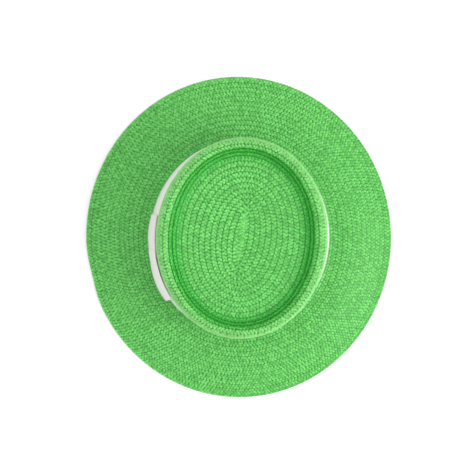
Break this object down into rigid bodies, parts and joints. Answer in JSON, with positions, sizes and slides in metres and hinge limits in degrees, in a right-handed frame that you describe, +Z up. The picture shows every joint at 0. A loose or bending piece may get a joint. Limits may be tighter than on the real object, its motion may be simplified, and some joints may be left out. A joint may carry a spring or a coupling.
{
  "type": "pork pie hat",
  "caption": "Sewn straw-braid pork pie hat with a recessed oval tip, a round ridge, a downward-sloping brim, a ribbon band and a flat side bow.",
  "frame": {"origin": "middle of the brim's box, on the surface that the hat rests on", "axes": "+Z up through the crown, +Y to the front, along the oval's length, -X to the wearer's left, where the bow sits"},
  "size_m": [0.3056, 0.3206, 0.1046],
  "materials": {
    "straw_braid": "sewn green paper braid, matt with a faint sheen",
    "ribbon": "white ribbed ribbon, matt"
  },
  "bodies": {
    "root": {"crown": "straw_braid", "brim": "straw_braid", "band": "ribbon", "bow_loop": "ribbon", "bow_tail": "ribbon", "bow_wrap": "ribbon"}
  },
  "joints": []
}
